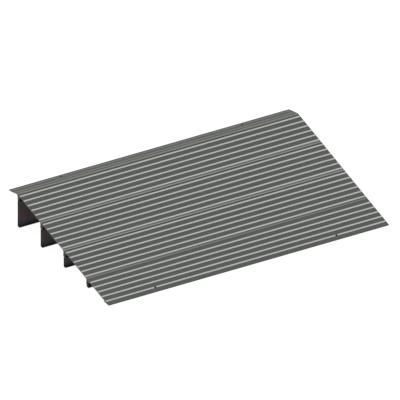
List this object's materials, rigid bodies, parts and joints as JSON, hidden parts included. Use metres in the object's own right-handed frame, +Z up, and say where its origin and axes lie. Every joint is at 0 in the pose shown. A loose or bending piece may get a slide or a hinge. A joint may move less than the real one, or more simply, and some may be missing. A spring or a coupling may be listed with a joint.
{
  "type": "threshold ramp",
  "caption": "Low modular threshold ramp: hooked, ribbed aluminium planks on full-width legs, a wedge toe on the ground and a hinged transition plate along the top edge.",
  "frame": {"origin": "on the ground, under the middle of the ramp's footprint with the transition plate at rest on its lower stop", "axes": "+X along the width, +Y up the slope towards the landing, +Z up; the toe points to -Y"},
  "size_m": [0.9144, 0.5697, 0.1066],
  "materials": {
    "deck_aluminium": "ribbed extrusion, dull grooved valleys with bright worn lands",
    "plate_aluminium": "satin mill finish with fine grooves",
    "leg_aluminium": "dull mill finish",
    "screw_steel": "zinc plated"
  },
  "bodies": {
    "ramp": {"deck_plank_1": "deck_aluminium", "deck_plank_2": "deck_aluminium", "deck_plank_3": "deck_aluminium", "toe_plank": "deck_aluminium", "support_leg_1": "leg_aluminium", "support_leg_2": "leg_aluminium", "support_leg_3": "leg_aluminium", "support_leg_4": "leg_aluminium", "leg_screw_1_1": "screw_steel", "leg_screw_1_2": "screw_steel", "leg_screw_1_3": "screw_steel", "leg_screw_2_1": "screw_steel", "leg_screw_2_2": "screw_steel", "leg_screw_2_3": "screw_steel", "leg_screw_3_1": "screw_steel", "leg_screw_3_2": "screw_steel", "leg_screw_3_3": "screw_steel", "leg_screw_4_1": "screw_steel", "leg_screw_4_2": "screw_steel", "leg_screw_4_3": "screw_steel"},
    "plate": {"transition_plate": "plate_aluminium"}
  },
  "joints": [
    {"name": "plate_hinge", "type": "hinge", "parent": "ramp", "child": "plate", "pos_m": [0, 0.23248, 0.10245], "axis": [1, 0, 0], "range_deg": [0, 30]}
  ]
}
